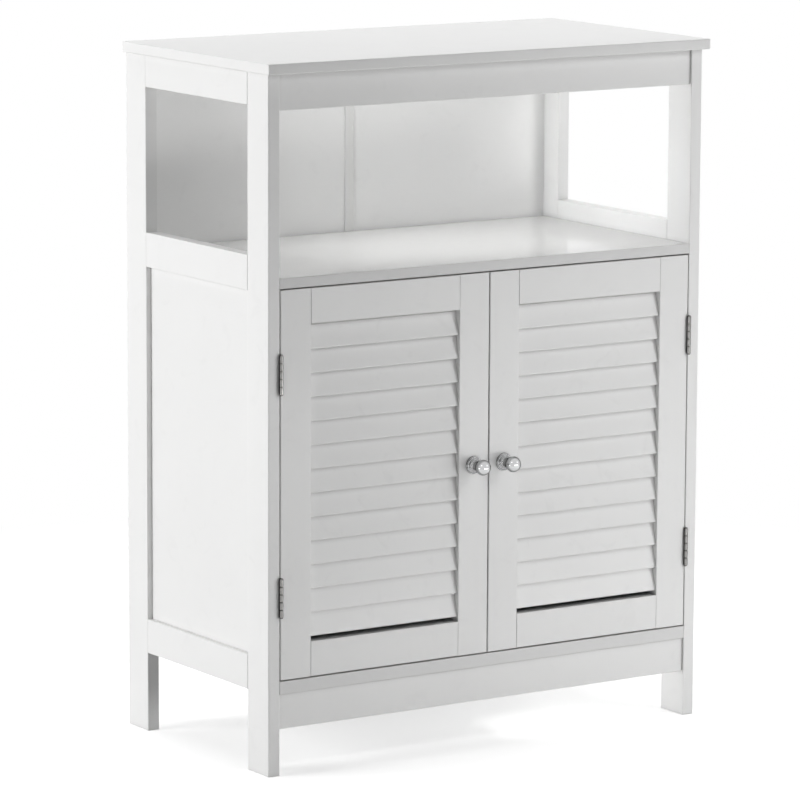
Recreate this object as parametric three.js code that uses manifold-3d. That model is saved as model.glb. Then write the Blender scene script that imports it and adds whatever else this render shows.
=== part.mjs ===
// Louvred door cabinet: an open bay with side windows above a cupboard with two louvred doors.
// Millimetres, +Z up. The front faces -Y, and the origin is on the floor in the middle of the footprint.
// Inside the cabinet group y is measured back from the front face of the legs.
import * as THREE from "three";
import { mergeVertices } from "three/addons/utils/BufferGeometryUtils.js";
import Module from "manifold-3d";

const wasm = await Module();
wasm.setup();

// Overall sizes and the top
const cabinetHeight = 800;
const topWidth = 600;
const topDepth = 320;
const topThickness = 12;
const topSideOverhang = 5;
const topFrontOverhang = 10;
const topCornerRadius = 2;
const topEdgeRadius = 1.2;

// Legs and side frames
const legThickness = 15;
const legDepth = 44;
const sideTopRailHeight = 37;
const middleRailHeight = 40;
const middleRailRise = 22.5; // from the open shelf up to the middle rail's top
const sideBottomRailHeight = 40;
const sidePanelThickness = 5;
const sidePanelRecess = 6.5;
const sideGrooveDepth = 6;

// Front rails, behind the front face of the legs
const frontTopRailHeight = 41;
const frontBottomRailHeight = 40;
const frontRailThickness = 15;
const frontRailRecess = 3;

// Shelves and boards
const footHeight = 52.5; // from the floor up to the front bottom rail
const bottomBoardThickness = 15;
const openShelfHeight = 562; // from the floor up to the open shelf's top
const openShelfThickness = 12;
const innerShelfThickness = 12;
const innerShelfSetback = 22;
const innerShelfSideGap = 1;

// Shelf pins and the spare holes for them
const shelfPinRadius = 2.5;
const shelfPinReach = 9;
const shelfPinInset = 13; // from the leg's edge at the side panel to the pin
const shelfHoleDepth = 9;
const shelfHoleSpacing = 64;

// Back panels and the strip that joins them
const backPanelThickness = 3;
const backPanelInset = 10;
const backGrooveDepth = 4.5;
const joinerWidth = 12;
const joinerFlange = 1;
const joinerWeb = 1.6;

// Doors
const doorThickness = 15;
const stileWidth = 40;
const doorRailHeight = 40;
const tenonLength = 12;
const tenonThickness = 6;
const doorTopGap = 1.5;
const doorBottomGap = 1.5;
const meetingGap = 1.5;

// Louvres
const louvreCount = 13;
const louvreThickness = 4.5;
const louvreTiltDegrees = 13;
const louvreEdgeRadius = 1.4;
const louvreHousing = 4; // how deep the stiles are slotted for the blades
const louvreOverlap = 0.6;
const louvreTopGap = 1.6;
const louvreBottomGap = 4.8;

// Butt hinges
const hingeFromDoorEnd = 94;
const leafHeight = 44;
const leafDepth = 14;
const leafThickness = 0.9;
const leafMortise = 0.7;
const knuckleCount = 5;
const knuckleRadius = 2.3;
const knuckleWall = 0.95;
const hingeTipRise = 1.4;
const leafScrewCount = 3;
const leafScrewSpacing = 14;
const leafScrewRadius = 1.6;
const leafCountersinkRadius = 2.4;

// Knobs
const knobRoseRadius = 10.3;
const knobRoseHeight = 3.2;
const knobRimHeight = 1.3;
const knobNeckRadius = 3.4;
const knobFlareRadius = 5.2;
const knobFlareHeight = 4;
const knobNeckHeight = 8;
const knobHeadRadius = 9;
const knobHeadHalfDepth = 8.2;
const knobHeadCentre = 19.4;
const knobScrewRadius = 2;
const knobScrewDepth = 10;

// Bores for the cam locks that hold the boards and rails together, all on hidden faces
const camRadius = 7.5;
const camDepth = 9.5;
const camFromEnd = 24;
const camFromLeg = 22;

// Magnetic catch
const catchWidth = 44;
const catchDepth = 13;
const catchHeight = 12;
const catchEarReach = 9;
const catchEarThickness = 2;
const catchSlotRadius = 1.8;
const catchMagnetWidth = 12;
const catchMagnetHeight = 5;
const catchMagnetDepth = 1.5;

// Clearances
const seatGap = 0.2;
const grooveClearance = 0.3;
const louvreClearance = 0.3;
const leafGap = 0.3;
const barrelClearance = 0.3;
const knuckleGap = 0.3;
const pinClearance = 0.25;
const screwClearance = 0.3;
const catchGap = 1.4;

// Finish of the boards, and how finely round shapes are divided
const edgeRadius = 0.8;
const cutOverrun = 2;
const edgeSteps = 2;
const barrelSides = 16;
const knobSides = 24;
const knobHeadSteps = 9;
const pinSides = 12;
const camSides = 16;

// Planes worked out from the sizes
const frameHalf = topWidth / 2 - topSideOverhang;
const clearHalf = frameHalf - legThickness;
const frameDepth = topDepth - topFrontOverhang;
const rearLegFront = frameDepth - legDepth;
const topUnderside = cabinetHeight - topThickness;
const bottomBoardUnderside = footHeight + frontBottomRailHeight;
const bottomBoardTop = bottomBoardUnderside + bottomBoardThickness;
const openShelfUnderside = openShelfHeight - openShelfThickness;
const middleRailTop = openShelfHeight + middleRailRise;
const middleRailUnderside = middleRailTop - middleRailHeight;
const sideBottomRailTop = bottomBoardUnderside + sideBottomRailHeight;
const innerShelfUnderside = (bottomBoardTop + openShelfUnderside) / 2;
const backPanelRear = frameDepth - backPanelInset;
const backPanelFront = backPanelRear - backPanelThickness;
const shelfRear = backPanelFront - grooveClearance - joinerFlange - seatGap;

// Hinge line and door
const leafProud = leafThickness + seatGap - leafMortise;
const hingeGap = 2 * leafProud + leafGap;
const hingeLineX = clearHalf - hingeGap / 2;
const hingeStandOff = knuckleRadius + barrelClearance;
const doorBottom = bottomBoardTop + doorBottomGap;
const doorHeight = openShelfUnderside - doorTopGap - doorBottom;
const doorWidth = clearHalf - hingeGap - meetingGap / 2;
const doorEdge = hingeGap / 2; // from the hinge line to the door's edge
const louvreOpeningWidth = doorWidth - 2 * stileWidth;
const louvreOpeningHeight = doorHeight - 2 * doorRailHeight;

// Colours and gloss
const paintedBoard = new THREE.MeshStandardMaterial({ color: 0xf2f2f1, roughness: 0.42, metalness: 0 });
const paintedPanel = new THREE.MeshStandardMaterial({ color: 0xededec, roughness: 0.5, metalness: 0 });
const whitePlastic = new THREE.MeshStandardMaterial({ color: 0xe4e4e2, roughness: 0.38, metalness: 0 });
const nickel = new THREE.MeshStandardMaterial({ color: 0xaaa8a4, roughness: 0.3, metalness: 1 });
const chrome = new THREE.MeshStandardMaterial({ color: 0xd6d8da, roughness: 0.08, metalness: 1 });

const left = -1;
const right = 1;

// Unit directions: rods are made along y
const rodAxis = new THREE.Vector3(0, 1, 0);
const upwards = new THREE.Vector3(0, 0, 1);
const forwards = new THREE.Vector3(0, -1, 0);
const sideways = { [left]: new THREE.Vector3(-1, 0, 0), [right]: new THREE.Vector3(1, 0, 0) };

// Boxes are given by their low and high end on each axis
const middleOf = ([low, high]) => (low + high) / 2;
const lengthOf = ([low, high]) => high - low;
const grown = ([low, high], by) => [low - by, high + by];
const around = (centre, size) => [centre - size / 2, centre + size / 2];

// The stretch between two distances from the middle plane, on the left or the right side
const across = (side, inner, outer) => (side === right ? [inner, outer] : [-outer, -inner]);

// The stretch between two distances from the hinge line, towards the middle of the cabinet
const inward = (side, near, far) => across(-side, near, far);

function grownBox(box, by) {
  return { x: grown(box.x, by), y: grown(box.y, by), z: grown(box.z, by) };
}

// A closed geometry as a solid, and a solid as a geometry
function solidFrom(geometry) {
  const bare = geometry.clone();
  bare.deleteAttribute("normal");
  bare.deleteAttribute("uv");
  const merged = mergeVertices(bare);
  const vertProperties = merged.getAttribute("position").array;
  const triVerts = new Uint32Array(merged.index.array);
  return new wasm.Manifold(new wasm.Mesh({ numProp: 3, vertProperties, triVerts }));
}

function geometryFrom(solid) {
  const { numProp, vertProperties, triVerts } = solid.getMesh();
  const positions = new THREE.BufferAttribute(new Float32Array(vertProperties), numProp);
  const geometry = new THREE.BufferGeometry();
  geometry.setAttribute("position", positions);
  geometry.setIndex(new THREE.BufferAttribute(new Uint32Array(triVerts), 1));
  const faceted = geometry.toNonIndexed();
  faceted.computeVertexNormals();
  return faceted;
}

function plainBox(box) {
  const block = new THREE.BoxGeometry(lengthOf(box.x), lengthOf(box.y), lengthOf(box.z));
  return block.translate(middleOf(box.x), middleOf(box.y), middleOf(box.z));
}

// A rectangle with rounded corners, centred on its own origin
function roundedRectangle(width, height, radius) {
  const points = [];
  const corners = [[1, 1], [-1, 1], [-1, -1], [1, -1]];
  corners.forEach(([signX, signY], quarter) => {
    for (let step = 0; step <= edgeSteps; step += 1) {
      const angle = ((quarter + step / edgeSteps) * Math.PI) / 2;
      const x = signX * (width / 2 - radius) + radius * Math.cos(angle);
      const y = signY * (height / 2 - radius) + radius * Math.sin(angle);
      points.push(new THREE.Vector2(x, y));
    }
  });
  return new THREE.Shape(points);
}

// Where an extrusion's own x, y and z axes point when it runs along each axis of the part
const extrusionAxes = {
  x: new THREE.Matrix4().makeBasis(
    new THREE.Vector3(0, 1, 0),
    new THREE.Vector3(0, 0, 1),
    new THREE.Vector3(1, 0, 0),
  ),
  y: new THREE.Matrix4().makeBasis(
    new THREE.Vector3(0, 0, 1),
    new THREE.Vector3(1, 0, 0),
    new THREE.Vector3(0, 1, 0),
  ),
  z: new THREE.Matrix4(),
};
const sectionAxes = { x: ["y", "z"], y: ["z", "x"], z: ["x", "y"] };

// A section run along one axis, centred on its own origin
function extruded(shape, length, along) {
  const geometry = new THREE.ExtrudeGeometry(shape, { depth: length, bevelEnabled: false });
  return geometry.translate(0, 0, -length / 2).applyMatrix4(extrusionAxes[along]);
}

// A board whose four long edges are eased
function easedBox(box, along) {
  const [across1, across2] = sectionAxes[along];
  const section = roundedRectangle(lengthOf(box[across1]), lengthOf(box[across2]), edgeRadius);
  const geometry = extruded(section, lengthOf(box[along]), along);
  return geometry.translate(middleOf(box.x), middleOf(box.y), middleOf(box.z));
}

// A profile of [radius, height] points turned about the z axis
function turned(profile, sides) {
  const points = profile.map(([radius, height]) => new THREE.Vector2(radius, height));
  return new THREE.LatheGeometry(points, sides).rotateX(Math.PI / 2);
}

// A round bore from a point on a face: it starts an overrun outside and runs in along a unit direction
function bore(radius, depth, direction, sides) {
  const rod = new THREE.CylinderGeometry(radius, radius, depth + cutOverrun, sides);
  rod.translate(0, (depth - cutOverrun) / 2, 0);
  return rod.applyQuaternion(new THREE.Quaternion().setFromUnitVectors(rodAxis, direction));
}

// Joins and cuts geometries that share one frame
function shaped(base, added, removed) {
  let solid = solidFrom(base);
  added.forEach((geometry) => {
    solid = solid.add(solidFrom(geometry));
  });
  removed.forEach((geometry) => {
    solid = solid.subtract(solidFrom(geometry));
  });
  return geometryFrom(solid);
}

// A named mesh that turns about the middle of its box, where its position puts it
function placedMesh(name, geometry, material, box) {
  const centre = new THREE.Vector3(middleOf(box.x), middleOf(box.y), middleOf(box.z));
  const mesh = new THREE.Mesh(geometry.translate(-centre.x, -centre.y, -centre.z), material);
  mesh.name = name;
  mesh.position.copy(centre);
  return mesh;
}

const sideName = (side) => (side === right ? "right" : "left");

// Panel boxes, from which the grooves that hold them are cut
const sidePanelBox = (side) => ({
  x: across(side, frameHalf - sidePanelRecess - sidePanelThickness, frameHalf - sidePanelRecess),
  y: grown([legDepth, rearLegFront], sideGrooveDepth - grooveClearance),
  z: grown([sideBottomRailTop, middleRailUnderside], sideGrooveDepth - grooveClearance),
});

const backPanelsBox = {
  x: grown([-clearHalf, clearHalf], backGrooveDepth - grooveClearance),
  y: [backPanelFront, backPanelRear],
  z: grown([bottomBoardTop, topUnderside], backGrooveDepth - grooveClearance),
};

const sideGroove = (side) => plainBox(grownBox(sidePanelBox(side), grooveClearance));
const backGroove = () => plainBox(grownBox(backPanelsBox, grooveClearance));

// Hinge heights above the bottom of a door, and above the floor
const hingeHeights = { lower: hingeFromDoorEnd, upper: doorHeight - hingeFromDoorEnd };

// The leaf's plate beside the hinge line: sign -1 is the leaf on the leg, +1 the leaf on the door
function leafPlateBox(side, sign, height) {
  const near = sign < 0 ? -leafGap / 2 - leafThickness : leafGap / 2;
  return {
    x: inward(side, near, near + leafThickness),
    y: [hingeStandOff + barrelClearance, hingeStandOff + leafDepth],
    z: around(height, leafHeight),
  };
}

// The pocket that lets a leaf into the wood, open to the gap and to the front
function leafPocket(side, sign, height) {
  const floor = leafGap / 2 + leafThickness + seatGap;
  return plainBox({
    x: sign < 0 ? inward(side, -floor, cutOverrun) : inward(side, -cutOverrun, floor),
    y: [hingeStandOff - cutOverrun, hingeStandOff + leafDepth + seatGap],
    z: grown(leafPlateBox(side, sign, height).z, seatGap),
  });
}

// Top: a flat board with rounded edges, grooved underneath for the back panels
function makeTop() {
  const box = {
    x: [-topWidth / 2, topWidth / 2],
    y: [-topFrontOverhang, frameDepth],
    z: [topUnderside, cabinetHeight],
  };
  const outline = roundedRectangle(
    topWidth - 2 * topEdgeRadius,
    topDepth - 2 * topEdgeRadius,
    topCornerRadius - topEdgeRadius,
  );
  const board = new THREE.ExtrudeGeometry(outline, {
    depth: topThickness - 2 * topEdgeRadius,
    bevelThickness: topEdgeRadius,
    bevelSize: topEdgeRadius,
    bevelSegments: edgeSteps,
  });
  board.translate(0, middleOf(box.y), topUnderside + topEdgeRadius);
  return placedMesh("top_panel", shaped(board, [], [backGroove()]), paintedBoard, box);
}

// A shelf pin or its hole, from the inner face of a leg: reach is positive into the cabinet
function pinRod(side, y, z, radius, depth, reach) {
  const rod = new THREE.CylinderGeometry(radius, radius, depth + reach, pinSides);
  rod.rotateZ(Math.PI / 2);
  return rod.translate(side * (clearHalf + (depth - reach) / 2), y, z);
}

// Leg: grooved for the side panel, pocketed for the hinges or grooved for the back, with its shelf pin
function makeLeg(side, end) {
  const atFront = end === "front";
  const box = {
    x: across(side, clearHalf, frameHalf),
    y: atFront ? [0, legDepth] : [rearLegFront, frameDepth],
    z: [0, topUnderside - seatGap],
  };
  const pinY = atFront ? legDepth - shelfPinInset : rearLegFront + shelfPinInset;
  const pinZ = innerShelfUnderside - seatGap - shelfPinRadius;
  const pin = pinRod(side, pinY, pinZ, shelfPinRadius, shelfHoleDepth, shelfPinReach);
  const holes = [-shelfHoleSpacing, shelfHoleSpacing].map((offset) =>
    pinRod(side, pinY, pinZ + offset, shelfPinRadius + pinClearance, shelfHoleDepth, cutOverrun),
  );
  const pockets = Object.values(hingeHeights).map((height) =>
    leafPocket(side, -1, height).translate(side * hingeLineX, -hingeStandOff, doorBottom),
  );
  const cuts = atFront ? pockets : [backGroove()];
  const geometry = shaped(easedBox(box, "z"), [pin], [sideGroove(side), ...holes, ...cuts]);
  return placedMesh(`leg_${end}_${sideName(side)}`, geometry, paintedBoard, box);
}

// Cam lock bores: into the underside of a board, the back of a front rail, the inside of a side top rail
const camRows = [legDepth + camFromLeg, rearLegFront - camFromLeg];

function camBore(x, y, z, direction) {
  return bore(camRadius, camDepth, direction, camSides).translate(x, y, z);
}

function boardCams(underside) {
  const x = clearHalf - camFromEnd;
  return [left, right].flatMap((side) => camRows.map((y) => camBore(side * x, y, underside, upwards)));
}

function frontRailCams(z) {
  const x = clearHalf - camFromEnd;
  const rear = frontRailRecess + frontRailThickness;
  return [left, right].map((side) => camBore(side * x, rear, middleOf(z), forwards));
}

function sideRailCams(side) {
  const z = topUnderside - camFromEnd;
  return camRows.map((y) => camBore(side * clearHalf, y, z, sideways[side]));
}

// The three rails and the loose panel between the legs of one side
function makeSideFrame(side) {
  const x = across(side, clearHalf, frameHalf);
  const y = grown([legDepth, rearLegFront], -seatGap);
  const rails = {
    top: [topUnderside - sideTopRailHeight, topUnderside - seatGap],
    middle: [middleRailUnderside, middleRailTop],
    bottom: [bottomBoardUnderside, sideBottomRailTop],
  };
  const meshes = Object.entries(rails).map(([level, z]) => {
    const box = { x, y, z };
    const cuts = level === "top" ? sideRailCams(side) : [sideGroove(side)];
    const geometry = shaped(easedBox(box, "y"), [], cuts);
    return placedMesh(`side_${level}_rail_${sideName(side)}`, geometry, paintedBoard, box);
  });
  const panel = sidePanelBox(side);
  meshes.push(placedMesh(`side_panel_${sideName(side)}`, plainBox(panel), paintedPanel, panel));
  return meshes;
}

// Boards and rails that run from side to side
function makeCrossPieces() {
  const x = grown([-clearHalf, clearHalf], -seatGap);
  const railY = [frontRailRecess, frontRailRecess + frontRailThickness];
  const boxes = {
    front_top_rail: { x, y: railY, z: [topUnderside - frontTopRailHeight, topUnderside - seatGap] },
    front_bottom_rail: { x, y: railY, z: [footHeight, bottomBoardUnderside - seatGap] },
    open_shelf: { x, y: [0, shelfRear], z: [openShelfUnderside, openShelfHeight] },
    bottom_board: { x, y: [0, frameDepth], z: [bottomBoardUnderside, bottomBoardTop] },
    inner_shelf: {
      x: grown([-clearHalf, clearHalf], -innerShelfSideGap),
      y: [innerShelfSetback, shelfRear],
      z: [innerShelfUnderside, innerShelfUnderside + innerShelfThickness],
    },
  };
  const cuts = {
    front_top_rail: frontRailCams(boxes.front_top_rail.z),
    front_bottom_rail: frontRailCams(boxes.front_bottom_rail.z),
    open_shelf: boardCams(openShelfUnderside),
    bottom_board: [backGroove(), ...boardCams(bottomBoardUnderside)],
    inner_shelf: [],
  };
  return Object.entries(boxes).map(([name, box]) =>
    placedMesh(name, shaped(easedBox(box, "x"), [], cuts[name]), paintedBoard, box),
  );
}

// Back: two thin panels in grooves, joined by an H-shaped strip
function makeBack() {
  const meshes = [left, right].map((side) => {
    const box = {
      ...backPanelsBox,
      x: across(side, joinerWeb / 2 + grooveClearance, backPanelsBox.x[1]),
    };
    return placedMesh(`back_panel_${sideName(side)}`, plainBox(box), paintedPanel, box);
  });
  const slot = backPanelThickness + 2 * grooveClearance;
  const strip = {
    x: [-joinerWidth / 2, joinerWidth / 2],
    y: grown([backPanelFront, backPanelRear], grooveClearance + joinerFlange),
    z: grown([bottomBoardTop, topUnderside], -seatGap),
  };
  const halfH = [
    [joinerWeb / 2, slot / 2],
    [joinerWidth / 2, slot / 2],
    [joinerWidth / 2, slot / 2 + joinerFlange],
  ];
  const upper = [...halfH, ...halfH.map(([x, y]) => [-x, y]).reverse()];
  const outline = [...upper, ...upper.map(([x, y]) => [-x, -y])];
  const section = new THREE.Shape(outline.map(([x, y]) => new THREE.Vector2(x, y)));
  const geometry = extruded(section, lengthOf(strip.z), "z");
  const joiner = new THREE.Mesh(geometry, whitePlastic);
  joiner.name = "back_panel_joiner";
  joiner.position.set(0, middleOf(strip.y), middleOf(strip.z));
  return [...meshes, joiner];
}

// Double magnetic catch under the open shelf, behind the place where the doors meet
function makeCatch() {
  const front = doorThickness + catchGap;
  const top = openShelfUnderside - seatGap;
  const body = {
    x: [-catchWidth / 2, catchWidth / 2],
    y: [front, front + catchDepth],
    z: [top - catchHeight, top],
  };
  const earSpan = catchWidth + 2 * catchEarReach;
  const ears = extruded(roundedRectangle(earSpan, catchDepth, catchDepth / 3), catchEarThickness, "z");
  ears.translate(0, middleOf(body.y), top - catchEarThickness / 2);
  const slots = [left, right].map((side) => {
    const hole = new THREE.CylinderGeometry(catchSlotRadius, catchSlotRadius, catchHeight, pinSides);
    hole.rotateX(Math.PI / 2);
    return hole.translate(side * (catchWidth + catchEarReach) / 2, middleOf(body.y), top);
  });
  const magnets = [left, right].map((side) => {
    return plainBox({
      x: around((side * catchWidth) / 4, catchMagnetWidth),
      y: [front - cutOverrun, front + catchMagnetDepth],
      z: around(middleOf(body.z), catchMagnetHeight),
    });
  });
  const geometry = shaped(easedBox(body, "x"), [ears], [...slots, ...magnets]);
  return placedMesh("magnetic_catch", geometry, whitePlastic, body);
}

// The blades share the opening's height between a thin gap above and a wider one below
const louvreRun = louvreOpeningHeight - louvreTopGap - louvreBottomGap;
const louvrePitch = (louvreRun - louvreOverlap) / louvreCount;
const louvreRise = louvrePitch + louvreOverlap;
const louvreFirst = doorHeight - doorRailHeight - louvreTopGap - louvreRise / 2;
const louvreTilt = THREE.MathUtils.degToRad(louvreTiltDegrees);

// A blade that stands as tall as its rise once it is tilted, its rounded edges allowed for
const [tiltSine, tiltCosine] = [Math.sin(louvreTilt), Math.cos(louvreTilt)];
const roundingLoss = 2 * louvreEdgeRadius * (tiltSine + tiltCosine - 1);
const bladeHeight = (louvreRise + roundingLoss - louvreThickness * tiltSine) / tiltCosine;

// A flat blade whose ends are housed in the stiles: extra grows it into the slot that holds it
function louvreBlade(extra) {
  const section = roundedRectangle(
    louvreThickness + 2 * extra,
    bladeHeight + 2 * extra,
    louvreEdgeRadius + extra,
  );
  const length = louvreOpeningWidth + 2 * (louvreHousing - louvreClearance + extra);
  return extruded(section, length, "x");
}

function louvreCentre(side, index) {
  return new THREE.Vector3(
    middleOf(inward(side, doorEdge, doorEdge + doorWidth)),
    hingeStandOff + doorThickness / 2,
    louvreFirst - index * louvrePitch,
  );
}

function makeLouvres(side) {
  return Array.from({ length: louvreCount }, (_, index) => {
    const blade = new THREE.Mesh(louvreBlade(0), paintedBoard);
    blade.name = `${sideName(side)}_louvre_${String(index + 1).padStart(2, "0")}`;
    blade.position.copy(louvreCentre(side, index));
    blade.rotation.x = -louvreTilt;
    return blade;
  });
}

// The middle of the lock stile, where the knob is
const knobX = (side) => middleOf(inward(side, doorEdge + doorWidth - stileWidth, doorEdge + doorWidth));

// Door frame: stiles full height, rails tenoned between them, slotted for the blades and hinges
function makeDoorFrame(side) {
  const y = [hingeStandOff, hingeStandOff + doorThickness];
  const whole = { x: inward(side, doorEdge, doorEdge + doorWidth), y, z: [0, doorHeight] };
  const stiles = [doorEdge, doorEdge + doorWidth - stileWidth].map((near) =>
    easedBox({ x: inward(side, near, near + stileWidth), y, z: whole.z }, "z"),
  );
  const opening = inward(side, doorEdge + stileWidth, doorEdge + doorWidth - stileWidth);
  const railLevels = [[0, doorRailHeight], [doorHeight - doorRailHeight, doorHeight]];
  const rails = railLevels.flatMap((z) => [
    easedBox({ x: grown(opening, -seatGap), y, z }, "x"),
    plainBox({
      x: grown(opening, tenonLength),
      y: around(middleOf(y), tenonThickness),
      z: grown(z, -tenonThickness),
    }),
  ]);
  const slots = Array.from({ length: louvreCount }, (_, index) => {
    const { x, y: depth, z } = louvreCentre(side, index);
    return louvreBlade(louvreClearance).rotateX(-louvreTilt).translate(x, depth, z);
  });
  const pockets = Object.values(hingeHeights).map((height) => leafPocket(side, 1, height));
  const throughDoor = doorThickness + cutOverrun;
  const knobHole = bore(knobScrewRadius + screwClearance, throughDoor, rodAxis, pinSides);
  knobHole.translate(knobX(side), y[0], doorHeight / 2);
  const [first, ...others] = [...stiles, ...rails];
  const geometry = shaped(first, others, [...slots, ...pockets, knobHole]);
  return placedMesh(`${sideName(side)}_door_frame`, geometry, paintedBoard, whole);
}

// The height of each knuckle above the middle of its hinge
const knuckleSpans = Array.from({ length: knuckleCount }, (_, index) => {
  const pitch = leafHeight / knuckleCount;
  const low = -leafHeight / 2 + index * pitch;
  return grown([low, low + pitch], -knuckleGap / 2);
});

// Quarter of a rounded hinge tip, from its pole out to the knuckle
function tipArc(sign) {
  return Array.from({ length: edgeSteps + 1 }, (_, step) => {
    const angle = (step / (edgeSteps + 1)) * (Math.PI / 2);
    const radius = knuckleRadius * Math.sin(angle);
    return [radius, sign * (leafHeight / 2 - knuckleGap / 2 + hingeTipRise * Math.cos(angle))];
  });
}

// The pin with the knuckles that turn with it, as one turned profile from tip to tip
function pinWithKnuckles() {
  const pinRadius = knuckleRadius - knuckleWall - pinClearance;
  const own = knuckleSpans.filter((_, index) => index % 2 === 0);
  const steps = own.flatMap(([low, high]) => [
    [pinRadius, low],
    [knuckleRadius, low],
    [knuckleRadius, high],
    [pinRadius, high],
  ]);
  return turned([...tipArc(-1), ...steps.slice(1, -1), ...tipArc(1).reverse()], barrelSides);
}

function knuckleRing([low, high]) {
  const inner = knuckleRadius - knuckleWall;
  const ring = [[inner, low], [knuckleRadius, low], [knuckleRadius, high], [inner, high], [inner, low]];
  return turned(ring, barrelSides);
}

// Countersunk screw holes through a leaf: into is the way from the gap to the wood along x
function leafScrewHoles(plate, into) {
  const countersink = leafCountersinkRadius - leafScrewRadius;
  const profile = [
    [0, -leafGap / 2],
    [leafCountersinkRadius, -leafGap / 2],
    [leafCountersinkRadius, 0],
    [leafScrewRadius, countersink],
    [leafScrewRadius, leafThickness + cutOverrun],
    [0, leafThickness + cutOverrun],
  ];
  return Array.from({ length: leafScrewCount }, (_, index) => {
    const z = (index - (leafScrewCount - 1) / 2) * leafScrewSpacing;
    const hole = turned(profile, pinSides).rotateY((into * Math.PI) / 2);
    return hole.translate((into * leafGap) / 2, middleOf(plate.y), z);
  });
}

// One leaf: its plate, a tab to each of its knuckles, and on the leg's leaf the pin
function makeHingeLeaf(side, level, carrier) {
  const onLeg = carrier === "leg";
  const plate = leafPlateBox(side, onLeg ? -1 : 1, 0);
  const spans = knuckleSpans.filter((_, index) => (index % 2 === 0) === onLeg);
  const tabs = spans.map((z) =>
    plainBox({ x: plate.x, y: [knuckleRadius - knuckleWall / 2, plate.y[0] + leafThickness], z }),
  );
  const barrel = onLeg ? [pinWithKnuckles()] : spans.map(knuckleRing);
  const holes = leafScrewHoles(plate, onLeg ? side : -side);
  const geometry = shaped(plainBox(plate), [...tabs, ...barrel], holes);
  const leaf = new THREE.Mesh(geometry, nickel);
  leaf.name = `hinge_${level}_${sideName(side)}_${carrier}_leaf`;
  leaf.position.z = hingeHeights[level];
  return leaf;
}

// Knob: round rose, waisted neck and a slightly flattened ball, turned in one piece round its screw hole
function makeKnob(side) {
  const rose = [
    [0, knobScrewDepth],
    [knobScrewRadius, knobScrewDepth],
    [knobScrewRadius, 0],
    [knobRoseRadius, 0],
    [knobRoseRadius, knobRimHeight],
    [knobRoseRadius - knobRimHeight / 2, middleOf([knobRimHeight, knobRoseHeight])],
    [middleOf([knobNeckRadius, knobRoseRadius]), knobRoseHeight],
  ];
  const neck = [
    [knobFlareRadius, knobFlareHeight],
    [knobNeckRadius, knobNeckHeight],
  ];
  const start = Math.asin(knobNeckRadius / knobHeadRadius);
  const head = Array.from({ length: knobHeadSteps + 1 }, (_, step) => {
    const angle = start + (step / knobHeadSteps) * (Math.PI - start);
    const radius = step === knobHeadSteps ? 0 : knobHeadRadius * Math.sin(angle);
    return [radius, knobHeadCentre - knobHeadHalfDepth * Math.cos(angle)];
  });
  const geometry = turned([...rose, ...neck, ...head], knobSides).rotateX(Math.PI / 2);
  const knob = new THREE.Mesh(geometry, chrome);
  knob.name = `${sideName(side)}_knob`;
  knob.position.set(knobX(side), hingeStandOff - seatGap, doorHeight / 2);
  return knob;
}

// A group whose own z axis is the hinge line at the foot of one door
function hingeLineGroup(side) {
  const group = new THREE.Group();
  group.position.set(side * hingeLineX, -hingeStandOff, doorBottom);
  return group;
}

// Door: it turns as one about its hinge line
function makeDoor(side) {
  const door = hingeLineGroup(side);
  door.add(makeDoorFrame(side), ...makeLouvres(side), makeKnob(side));
  Object.keys(hingeHeights).forEach((level) => door.add(makeHingeLeaf(side, level, "door")));
  return door;
}

// The leaves that stay on the legs
function makeLegLeaves(side) {
  const leaves = hingeLineGroup(side);
  Object.keys(hingeHeights).forEach((level) => leaves.add(makeHingeLeaf(side, level, "leg")));
  return leaves;
}

// The whole cabinet, moved so that the middle of its depth, knobs included, is on the origin
const cabinet = new THREE.Group();
const knobReach = seatGap + knobHeadCentre + knobHeadHalfDepth;
cabinet.position.y = (knobReach - frameDepth) / 2;
cabinet.add(makeTop(), ...makeCrossPieces(), ...makeBack(), makeCatch());
[left, right].forEach((side) => {
  cabinet.add(makeLeg(side, "front"), makeLeg(side, "rear"), ...makeSideFrame(side));
  cabinet.add(makeLegLeaves(side), makeDoor(side));
});

const part = new THREE.Group();
part.add(cabinet);
export default part;
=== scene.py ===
import bpy
import bmesh
from math import cos, pi, radians, sin
from mathutils import Matrix, Quaternion, Vector


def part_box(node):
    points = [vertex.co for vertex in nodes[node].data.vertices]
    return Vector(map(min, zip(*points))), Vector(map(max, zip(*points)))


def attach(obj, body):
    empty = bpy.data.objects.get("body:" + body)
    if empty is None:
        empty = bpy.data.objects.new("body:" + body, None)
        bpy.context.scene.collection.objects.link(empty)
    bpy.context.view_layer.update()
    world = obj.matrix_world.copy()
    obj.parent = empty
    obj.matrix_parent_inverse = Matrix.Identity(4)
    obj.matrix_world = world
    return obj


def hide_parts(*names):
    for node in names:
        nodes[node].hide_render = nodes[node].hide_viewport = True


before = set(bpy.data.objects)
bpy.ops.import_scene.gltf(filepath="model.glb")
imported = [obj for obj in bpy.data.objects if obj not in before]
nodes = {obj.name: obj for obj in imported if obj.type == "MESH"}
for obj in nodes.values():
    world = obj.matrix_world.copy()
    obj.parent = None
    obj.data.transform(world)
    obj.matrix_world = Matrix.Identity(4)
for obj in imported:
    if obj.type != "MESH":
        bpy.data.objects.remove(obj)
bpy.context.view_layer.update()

scene = bpy.context.scene
scene.view_settings.view_transform = "Standard"
print("frame loaded:", len(nodes), "nodes")

# camera: long lens, from the front left and a little above
cameraValues = {
    "place": (-3.0754, -4.6504, 1.3159),
    "azimuth": 33.231,  # turned from +Y towards +X
    "pitch": 9.512,  # looking down
    "roll": 0.246,
    "lens": 218.97,
    "sensor": 36,
    "near": 0.1,
    "far": 200,
}


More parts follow.
